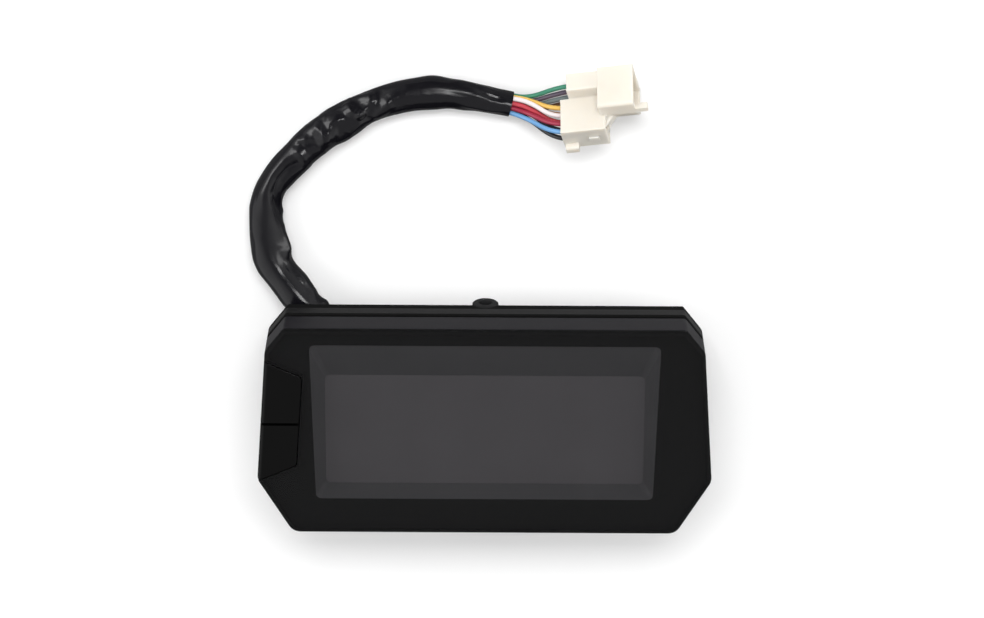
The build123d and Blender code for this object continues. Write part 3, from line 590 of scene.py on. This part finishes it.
# %% Wires
wire_resolution = 12
wire_roundness = 6
wire_colours = [
    ("green", (0.03, 0.2, 0.12)), ("violet", (0.08, 0.06, 0.09)), ("grey", (0.16, 0.2, 0.2)),
    ("brown", (0.1, 0.045, 0.02)), ("yellow", (0.72, 0.45, 0.1)), ("orange", (0.45, 0.17, 0.05)),
    ("white", (0.74, 0.66, 0.66)), ("red", (0.5, 0.05, 0.07)), ("crimson", (0.32, 0.02, 0.05)),
    ("navy", (0.012, 0.03, 0.05)), ("blue", (0.14, 0.33, 0.6)), ("black", (0.012, 0.012, 0.014)),
]


def make_wire(name, controls):
    """One insulated wire: a round section swept along a NURBS spline, with closed ends."""
    curve = spline_curve(name, controls, wire_resolution)
    curve.data.bevel_depth = wire_diameter / 2
    curve.data.bevel_resolution = wire_roundness
    curve.data.use_fill_caps = True
    return curve


wires = [(make_wire("wire_" + name, route), colour) for (name, colour), route in zip(wire_colours, routes)]
print(len(wires), "wires")

# %% [markdown]
# ## Finishes
# Every finish is one Principled shader. Noise in the object's own coordinates varies the colour and the
# roughness a little, and a fine bump gives moulded plastic its grain. Three finishes keep their gloss only
# between two heights: the lens on its flat top, the cover below its rim, and the case on its band. Elsewhere
# they are matt, and the two shells are painted darker there as well: painted shade for a rim, a gap or an
# underside.

# %% Node helpers
def add_node(tree, kind, settings=None, **values):
    """A node of that kind, with its settings and the values of its named sockets."""
    node = tree.nodes.new("ShaderNode" + kind)
    for name, setting in (settings or {}).items():
        setattr(node, name, setting)
    for socket, value in values.items():
        node.inputs[socket.replace("_", " ")].default_value = value
    return node


def shade_of(colour, factor):
    """A darker or lighter shade of a colour, with full opacity."""
    return (*(min(c * factor, 1.0) for c in colour), 1.0)


def between_heights(tree, place, low, high):
    """A value that is 1 between two heights and 0 elsewhere."""
    axes = add_node(tree, "SeparateXYZ")
    tree.links.new(place, axes.inputs[0])
    within = add_node(tree, "Math", {"operation": "MULTIPLY"})
    for side, (test, height) in enumerate((("GREATER_THAN", low), ("LESS_THAN", high))):
        compared = add_node(tree, "Math", {"operation": test})
        compared.inputs[1].default_value = height
        tree.links.new(axes.outputs["Z"], compared.inputs[0])
        tree.links.new(compared.outputs[0], within.inputs[side])
    return within.outputs[0]


print("node helpers are ready")

# %% [markdown]
# The noise is coarse, with patches of about 20 mm. The grain is many times finer, and a tenth of a millimetre
# deep at most.

# %% One finish
patch_scale, patch_detail = 45.0, 4.0
darker, lighter = 0.9, 1.1
glossiest = 0.01
matt_roughness = 0.95
grain_scale, grain_detail = 3000.0, 2.0
grain_depth = 0.1 * mm


def surface(name, colour, roughness, metallic=0.0, grain=0.0, spread=0.05,
            smooth_from=0.0, smooth_to=0.0, painted_shade=1.0, **sockets):
    """A material with slight unevenness in colour and roughness, and a bumped grain where grain isn't 0.

    Where smooth_to is given, the surface is quite matt outside the heights smooth_from and smooth_to, and its
    colour there is multiplied by painted_shade: painted shade, for rims, gaps and undersides.
    """
    made = bpy.data.materials.new(name)
    made.use_nodes = True
    tree = made.node_tree
    join = tree.links.new
    shader = tree.nodes["Principled BSDF"]
    place = add_node(tree, "TexCoord").outputs["Object"]
    patches = add_node(tree, "TexNoise", Scale=patch_scale, Detail=patch_detail)
    tint = add_node(tree, "Mix", {"data_type": "RGBA"}, A=shade_of(colour, darker), B=shade_of(colour, lighter))
    uneven = add_node(tree, "MapRange", To_Min=max(roughness - spread, glossiest), To_Max=roughness + spread)
    join(place, patches.inputs["Vector"])
    join(patches.outputs["Fac"], tint.inputs["Factor"])
    join(patches.outputs["Fac"], uneven.inputs["Value"])
    final_tint, final_roughness = tint, uneven
    # Outside the heights the colour is painted shade: darkened by the shade factor, and made matt.
    if smooth_to:
        within = between_heights(tree, place, smooth_from, smooth_to)
        final_tint = add_node(tree, "Mix", {"data_type": "RGBA"}, A=shade_of(colour, painted_shade))
        final_roughness = add_node(tree, "Mix", A=matt_roughness)
        for mix, source in ((final_tint, tint), (final_roughness, uneven)):
            join(within, mix.inputs["Factor"])
            join(source.outputs["Result"], mix.inputs["B"])
    join(final_tint.outputs["Result"], shader.inputs["Base Color"])
    join(final_roughness.outputs["Result"], shader.inputs["Roughness"])
    if grain:
        fine = add_node(tree, "TexNoise", Scale=grain_scale, Detail=grain_detail)
        bump = add_node(tree, "Bump", Strength=grain, Distance=grain_depth)
        join(place, fine.inputs["Vector"])
        join(fine.outputs["Fac"], bump.inputs["Height"])
        join(bump.outputs["Normal"], shader.inputs["Normal"])
    shader.inputs["Metallic"].default_value = metallic
    for socket, value in sockets.items():
        shader.inputs[socket.replace("_", " ")].default_value = value
    return made


print("a finish has patches, and grain where it is asked for")

# %% [markdown]
# The numbers after each name are its colour and its roughness. The nylon lets light into it by a few
# millimetres, which gives it its milky look.

# %% Finishes
lens_top = 45.98 * mm
well_above = 100.0 * mm
cover_gloss_top = 43.4 * mm
case_band = (23.5 * mm, 28.5 * mm)
finishes = {
    "smoked_lens": surface("smoked_lens", (0.003, 0.003, 0.0035), 0.03, spread=0.01,
                           smooth_from=lens_top, smooth_to=well_above, Alpha=0.35),
    "lens_print": surface("lens_print", (0.003, 0.003, 0.003), 0.6, Specular_IOR_Level=0.1),
    # The cover and the case carry painted shade: a tenth as bright on the cover's seat under the lens edge, and on
    # the case's lowest rim and at its seam.
    "cover_plastic": surface("cover_plastic", (0.0155, 0.0148, 0.0177), 0.38, grain=0.25,
                             smooth_to=cover_gloss_top, painted_shade=0.1, Specular_IOR_Level=0.3),
    "case_plastic": surface("case_plastic", (0.0145, 0.0145, 0.015), 0.4, grain=0.3,
                            smooth_from=case_band[0], smooth_to=case_band[1],
                            painted_shade=0.1, Specular_IOR_Level=0.3),
    "bezel_plastic": surface("bezel_plastic", (0.14, 0.137, 0.146), 0.5, grain=0.2),
    "key_plastic": surface("key_plastic", (0.002, 0.002, 0.002), 0.06, spread=0.02, Specular_IOR_Level=0.16),
    "lcd_glass": surface("lcd_glass", (0.2, 0.19, 0.2), 0.15, spread=0.02),
    "film": surface("film", (0.21, 0.198, 0.213), 0.3),
    "white_plastic": surface("white_plastic", (0.82, 0.82, 0.8), 0.5),
    "led": surface("led", (0.85, 0.8, 0.45), 0.3),
    "rubber": surface("rubber", (0.014, 0.014, 0.014), 0.6, grain=0.2),
    "grey_rubber": surface("grey_rubber", (0.016, 0.016, 0.017), 0.5, grain=0.2, Specular_IOR_Level=0.2),
    "board": surface("board", (0.01, 0.12, 0.05), 0.35),
    "chip": surface("chip", (0.02, 0.02, 0.02), 0.55),
    "can": surface("can", (0.7, 0.7, 0.72), 0.3, metallic=1.0),
    "steel": surface("steel", (0.5, 0.5, 0.51), 0.35, metallic=1.0),
    "brass": surface("brass", (0.7, 0.5, 0.2), 0.32, metallic=1.0),
    "sleeve": surface("sleeve", (0.005, 0.0048, 0.0065), 0.2, spread=0.04, Specular_IOR_Level=0.4),
    "wire": surface("wire", (0.3, 0.3, 0.3), 0.35),
    "nylon": surface("nylon", (0.73, 0.685, 0.61), 0.42, Subsurface_Weight=0.8,
                     Subsurface_Radius=(1.0, 0.9, 0.8), Subsurface_Scale=3.0 * mm),
    "terminal": surface("terminal", (0.75, 0.65, 0.4), 0.35, metallic=1.0),
}
print(len(finishes), "finishes")

# %% [markdown]
# Each node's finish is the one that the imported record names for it, and the record also says which body a node
# belongs to.

# %% Painting
def paint(piece, finish):
    """Give a piece this finish and no other."""
    piece.data.materials.clear()
    piece.data.materials.append(finish)


record = frame["record"]
slot_of = {part["node"]: part["material_slot"] for part in record["subparts"]}
body_of = {node: body for body, nodes in record["behaviour"]["bodies"].items() for node in nodes}
for name, node in frame["nodes"].items():
    paint(node, finishes[slot_of[name]])
paint(sleeve, finishes["sleeve"])
print(len(slot_of), "nodes painted")

# %% [markdown]
# ## Softer edges
# A moulded edge is never perfectly sharp, and it is the rounding that catches the light. Ten of the pieces that
# show are copied from the frame, their triangles are merged into whole faces, and the copies are shown instead
# of the plain nodes. Each is drawn in by a fiftieth of a millimetre, so that no two faces lie in one plane where
# pieces touch, and the mask behind the lens by a tenth. The lens has its rounded rim already and stays as it is.
#
# Small pieces get a narrow bevel on all their sharp edges. On a large shell that would be stopped by its
# smallest features, so there only the edges that show are picked and rounded: the rims of the cover and the
# case, and the long edges of the connector. The mask lies flat behind the lens and needs neither.

# %% Picking edges
sharp_from = math.radians(20)
outline_reach = 0.15 * mm
steepest_rim = 0.9
long_edge = 4.5 * mm


def rim_test(shape):
    """A test for the edges that run round the outside of a shell, and not up and down it."""
    spots = [v.co.xy for v in shape.verts]
    hull = [spots[i] for i in convex_hull_2d(spots)]
    sides = list(zip(hull, hull[1:] + hull[:1]))

    def outside(vert):
        spot = vert.co.xy
        return min((spot - intersect_point_line(spot, a, b)[0].xy).length for a, b in sides) < outline_reach

    def on_rim(edge):
        run = edge.verts[1].co - edge.verts[0].co
        return abs(run.z) < steepest_rim * run.length and all(outside(v) for v in edge.verts)

    return on_rim


def length_test(shape):
    """A test for the edges that are long enough to be rounded off widely."""
    return lambda edge: edge.calc_length() > long_edge


def select_edges(piece, test):
    """Select, in edit mode, the sharp outward edges that pass the test, and count them."""
    shape = bmesh.from_edit_mesh(piece.data)
    passes = test(shape)
    for face in shape.faces:
        face.select = False
    for edge in shape.edges:
        edge.select = (len(edge.link_faces) == 2 and edge.is_convex
                       and edge.calc_face_angle() > sharp_from and passes(edge))
    shape.select_flush_mode()
    bmesh.update_edit_mesh(piece.data)
    return sum(edge.select for edge in shape.edges)


print("edges are sharp from", round(math.degrees(sharp_from)), "degrees")

# %% [markdown]
# A piece with a bevel on all its edges may have faces joined that are nearly level with each other. The others
# keep even their slightest turns, because those are curves of their solid.

# %% Dressing a shell
drawn_in = 0.02 * mm
merge_within = 0.005 * mm
joined_under, curves_kept_under = math.radians(0.5), math.radians(0.02)
bevelled_from = math.radians(40)
soft_under = math.radians(35)


def open_copy(name, node):
    """A copy of a node, in edit mode, selected all over and with its triangles joined at their corners."""
    piece = link(bpy.data.objects.new(name, frame["nodes"][node].data.copy()))
    select_only(piece)
    bpy.ops.mesh.customdata_custom_splitnormals_clear()
    bpy.ops.object.mode_set(mode="EDIT")
    bpy.ops.mesh.select_all(action="SELECT")
    bpy.ops.mesh.remove_doubles(threshold=merge_within)
    return piece


def apply(piece, kind, **settings):
    """Finish the active piece with a modifier of that kind, and make the result its mesh."""
    modifier = piece.modifiers.new(kind.lower(), kind)
    for name, setting in settings.items():
        setattr(modifier, name, setting)
    bpy.ops.object.modifier_apply(modifier=modifier.name)


def dressed(node, edge=0.0, inset=drawn_in, test=None, radius=0.0, segments=2):
    """Show a copy of a node in its place, with a bevel on all its edges or a rounding on the picked ones."""
    piece = open_copy("dressed_" + node, node)
    bpy.ops.mesh.dissolve_limited(angle_limit=joined_under if edge else curves_kept_under)
    bpy.ops.transform.shrink_fatten(value=-inset)
    if test:
        bpy.ops.mesh.select_mode(type="EDGE")
        print(node, "has", select_edges(piece, test), "edges to round")
        bpy.ops.mesh.bevel(offset=radius, segments=segments, affect="EDGES", clamp_overlap=False)
    bpy.ops.object.mode_set(mode="OBJECT")
    if edge:
        apply(piece, "BEVEL", width=edge, segments=segments, limit_method="ANGLE", angle_limit=bevelled_from)
    bpy.ops.object.shade_smooth_by_angle(angle=soft_under)
    apply(piece, "WEIGHTED_NORMAL", weight=100, keep_sharp=True)
    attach(piece, body_of[node])
    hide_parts(node)
    print(node, len(piece.data.polygons), "faces")


print("shells are drawn in by", drawn_in / mm, "mm")

# %% [markdown]
# Rubber rounds off more than hard plastic, so the two grommets get the widest bevels.

# %% Dressed shells
rims = {"test": rim_test, "radius": 0.5 * mm}
long_edges = {"test": length_test, "radius": 0.7 * mm, "segments": 3}
for name, treatment in {
    "lens_mask": {"inset": 0.1 * mm},
    "front_cover": rims,
    "rear_case": rims,
    "button_upper": {"edge": 0.1 * mm},
    "button_lower": {"edge": 0.1 * mm},
    "display_bezel": {"edge": 0.1 * mm},
    "locating_grommet": {"edge": 0.15 * mm},
    "harness_grommet": {"edge": 0.2 * mm},
    "connector_housing": long_edges,
    "connector_lock": {"edge": 0.12 * mm},
}.items():
    dressed(name, **treatment)

# %% [markdown]
# ## A painted dark rim on the lens
# A black skin over the lens's side and rounding is painted shade: it stands in for the dark reflection along
# the lens's edge, which would otherwise show as a pale line. It is given the print's finish. The skin is the
# lens's own side and rounding, taken from the frame, set a little inwards and given a thickness.

# %% Painted dark rim on the lens
rim_shade_inset = 0.06 * mm
rim_shade_wall = 0.2 * mm
shortest_edge = 0.05 * mm
nearly_level = 0.9995

rim_shade = open_copy("lens_rim_painted_shade", "lens")
bpy.ops.mesh.dissolve_degenerate(threshold=shortest_edge)
bpy.ops.mesh.select_all(action="SELECT")
bpy.ops.transform.shrink_fatten(value=-rim_shade_inset)
bpy.ops.mesh.select_mode(type="FACE")
shape = bmesh.from_edit_mesh(rim_shade.data)
for face in shape.faces:
    face.select = abs(face.normal.z) > nearly_level
bmesh.update_edit_mesh(rim_shade.data)
bpy.ops.mesh.delete(type="FACE")
bpy.ops.object.mode_set(mode="OBJECT")
apply(rim_shade, "SOLIDIFY", thickness=rim_shade_wall)
bpy.ops.object.shade_smooth_by_angle(angle=soft_under)
# Painted shade: the print's black on the lens's rim, for its dark reflection.
paint(rim_shade, finishes["lens_print"])
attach(rim_shade, body_of["lens"])
print("lens border has", len(rim_shade.data.polygons), "faces")

# %% [markdown]
# ## Floor and light
# The set is a pale floor under soft light. The camera sees the floor a little brighter than the light makes
# it, so that it comes out nearly white. The dark walls and the glossy sleeve would mirror so pale a floor and
# turn grey, so a glossy ray sees a much darker one.

# %% Floor
floor_size = 12.0
just_below = -0.1 * mm
floor_tone, mirrored_tone = 0.85, 0.2
floor_lift = 0.14


def chosen_by_ray(tree, ray, usual, special):
    """A shader that is the special one for rays of that kind, and the usual one for all others."""
    path = add_node(tree, "LightPath")
    mix = add_node(tree, "MixShader")
    tree.links.new(path.outputs[ray], mix.inputs["Fac"])
    tree.links.new(usual, mix.inputs[1])
    tree.links.new(special, mix.inputs[2])
    return mix.outputs[0]


bpy.ops.mesh.primitive_plane_add(size=floor_size, location=(0, 0, just_below))
floor = bpy.context.object
floor.name = "floor"
floor_finish = bpy.data.materials.new("floor")
floor_finish.use_nodes = True
tree = floor_finish.node_tree
tree.nodes.remove(tree.nodes["Principled BSDF"])
matt, mirrored_matt = (add_node(tree, "BsdfDiffuse", Color=(tone, tone, tone, 1.0))
                       for tone in (floor_tone, mirrored_tone))
lift = add_node(tree, "Emission", Strength=floor_lift)
lifted = add_node(tree, "AddShader")
tree.links.new(matt.outputs[0], lifted.inputs[0])
tree.links.new(lift.outputs[0], lifted.inputs[1])
seen = chosen_by_ray(tree, "Is Camera Ray", matt.outputs[0], lifted.outputs[0])
seen = chosen_by_ray(tree, "Is Glossy Ray", seen, mirrored_matt.outputs[0])
tree.links.new(seen, tree.nodes["Material Output"].inputs["Surface"])
paint(floor, floor_finish)
print("floor is", floor_size, "m wide")

# %% [markdown]
# The sky is white and has two strengths. The one that lights the set grows from the side of the cluster's
# bottom edge to the side of its top edge, which leaves the bottom wall dark. The other is what shiny surfaces
# mirror. It is moderate on the bottom edge's side, which is the part of the sky that the face mirrors into the
# camera, and dim on the top edge's side, in front of the bands. Far out to the left and right it is brighter,
# where it draws the sides of the sleeve.

# %% Sky
def ramp(tree, value, from_low, from_high, to_low, to_high):
    """A value that goes from to_low to to_high while the given one goes from from_low to from_high."""
    node = add_node(tree, "MapRange", From_Min=from_low, From_Max=from_high, To_Min=to_low, To_Max=to_high)
    tree.links.new(value, node.inputs["Value"])
    return node.outputs[0]


lit_by_sky = (-1.0, 1.0, 0.35, 0.85)
mirrored_to_the_sides = (0.2, 0.8, 0.0, 0.7)
mirrored_over_the_set = (-0.37, 0.2, 0.42, 0.06)

world = bpy.data.worlds.new("studio")
bpy.context.scene.world = world
world.use_nodes = True
tree = world.node_tree
facing = add_node(tree, "SeparateXYZ")
tree.links.new(add_node(tree, "TexCoord").outputs["Generated"], facing.inputs[0])
aside = add_node(tree, "Math", {"operation": "ABSOLUTE"})
tree.links.new(facing.outputs["X"], aside.inputs[0])
in_mirrors = add_node(tree, "Math")
tree.links.new(ramp(tree, aside.outputs[0], *mirrored_to_the_sides), in_mirrors.inputs[0])
tree.links.new(ramp(tree, facing.outputs["Y"], *mirrored_over_the_set), in_mirrors.inputs[1])
lit = ramp(tree, facing.outputs["Y"], *lit_by_sky)
sky = tree.nodes["Background"]
mirrored_sky = add_node(tree, "Background")
for light, strength in ((sky, lit), (mirrored_sky, in_mirrors.outputs[0])):
    light.inputs["Color"].default_value = (1.0, 1.0, 1.0, 1.0)
    tree.links.new(strength, light.inputs["Strength"])
shown_sky = chosen_by_ray(tree, "Is Glossy Ray", sky.outputs[0], mirrored_sky.outputs[0])
tree.links.new(shown_sky, tree.nodes["World Output"].inputs["Surface"])
print("the sky has", len(tree.nodes), "nodes")

# %% [markdown]
# Three soft lamps light the set: one high beyond the cluster's top edge, one on its left and one on its right.
# The first isn't mirrored in anything. Two strips are the other way round: they light no matt surface, and are
# there only to be mirrored as bright lines.

# %% Lamps
def soft_light(name, place, size, power):
    """A rectangular lamp aimed at the middle of the picture."""
    data = bpy.data.lights.new(name, "AREA")
    data.shape = "RECTANGLE"
    data.size, data.size_y = size
    data.energy = power
    lamp = link(bpy.data.objects.new(name, data))
    lamp.location = place
    lamp.rotation_euler = (looked_at - Vector(place)).to_track_quat("-Z", "Y").to_euler()
    return lamp


strip_turn = math.radians(-11.0)
behind = soft_light("light_behind", (0.0, 0.9, 1.3), (0.8, 0.4), 14.0)
behind.visible_glossy = False
soft_light("light_left", (-1.3, 0.3, 0.9), (0.5, 1.0), 6.0)
soft_light("light_right", (1.3, 0.3, 0.9), (0.5, 1.0), 4.5)
strip = soft_light("light_strip", (0.28, 0.3, 1.18), (0.1, 0.6), 3.6)
strip.rotation_euler.rotate_axis("Z", strip_turn)
strip.visible_diffuse = False
side_strip = soft_light("light_side_strip", (-0.95, 0.55, 0.75), (0.25, 0.8), 1.6)
side_strip.visible_diffuse = False

# %% [markdown]
# ## What hangs on the harness
# Each wire ends in the connector. It gets a finish of its own colour and hangs on the root body, and the
# frame's plain wires are hidden. A wire's length is read from a line with the same control points and no
# thickness, and printed.

# %% Wire finishes and lengths
wire_roughness = 0.35
for curve, colour in wires:
    curve.data.materials.append(surface(curve.name, colour, wire_roughness))
    controls = [point.co.xyz for point in curve.data.splines[0].points]
    centre = spline_curve(curve.name + "_line", controls, wire_resolution)
    length = line_length(line_of(centre))
    bpy.data.objects.remove(centre)
    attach(curve, "root")
    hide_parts("harness_wires")
    print(curve.name, round(length / mm, 1), "mm")
